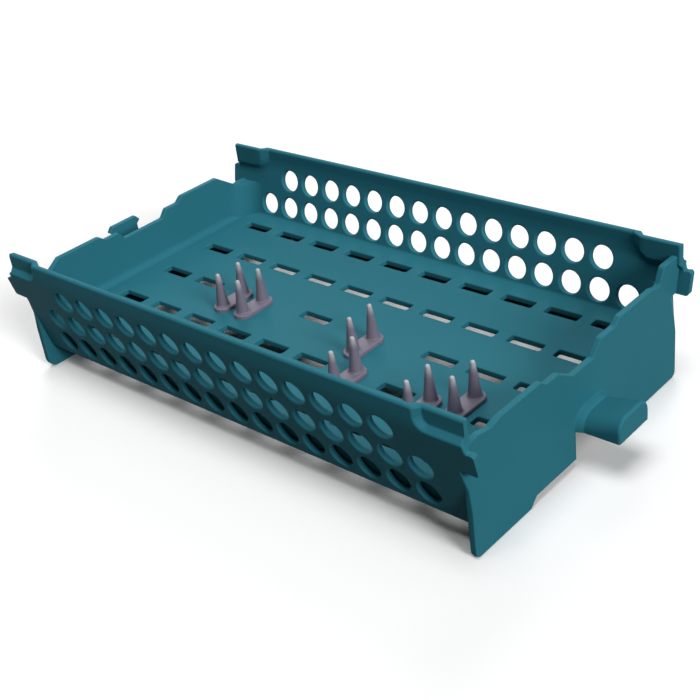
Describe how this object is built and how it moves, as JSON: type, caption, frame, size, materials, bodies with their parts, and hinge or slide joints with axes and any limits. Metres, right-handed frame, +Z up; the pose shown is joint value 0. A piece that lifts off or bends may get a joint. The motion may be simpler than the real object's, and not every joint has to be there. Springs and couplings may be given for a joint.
{
  "type": "instrument organizer",
  "caption": "Open perforated basket tray on feet with solid end walls, end lugs, a slotted floor and upright silicone fingers that keep instruments apart.",
  "frame": {"origin": "on the surface the feet stand on, under the middle of the tray", "axes": "+X along the long side towards the hood lug, +Y towards the back long wall, +Z up"},
  "size_m": [0.2628, 0.1364, 0.0552],
  "materials": {
    "tray_plastic": "satin moulded",
    "finger_silicone": "matte moulded silicone"
  },
  "bodies": {
    "root": {"floor_tray": "tray_plastic", "front_side_wall": "tray_plastic", "back_side_wall": "tray_plastic", "left_end_wall": "tray_plastic", "right_end_wall": "tray_plastic", "finger_pair_1": "finger_silicone", "finger_pair_2": "finger_silicone", "finger_pair_3": "finger_silicone", "finger_pair_4": "finger_silicone", "finger_pair_5": "finger_silicone", "finger_pair_6": "finger_silicone"}
  },
  "joints": []
}
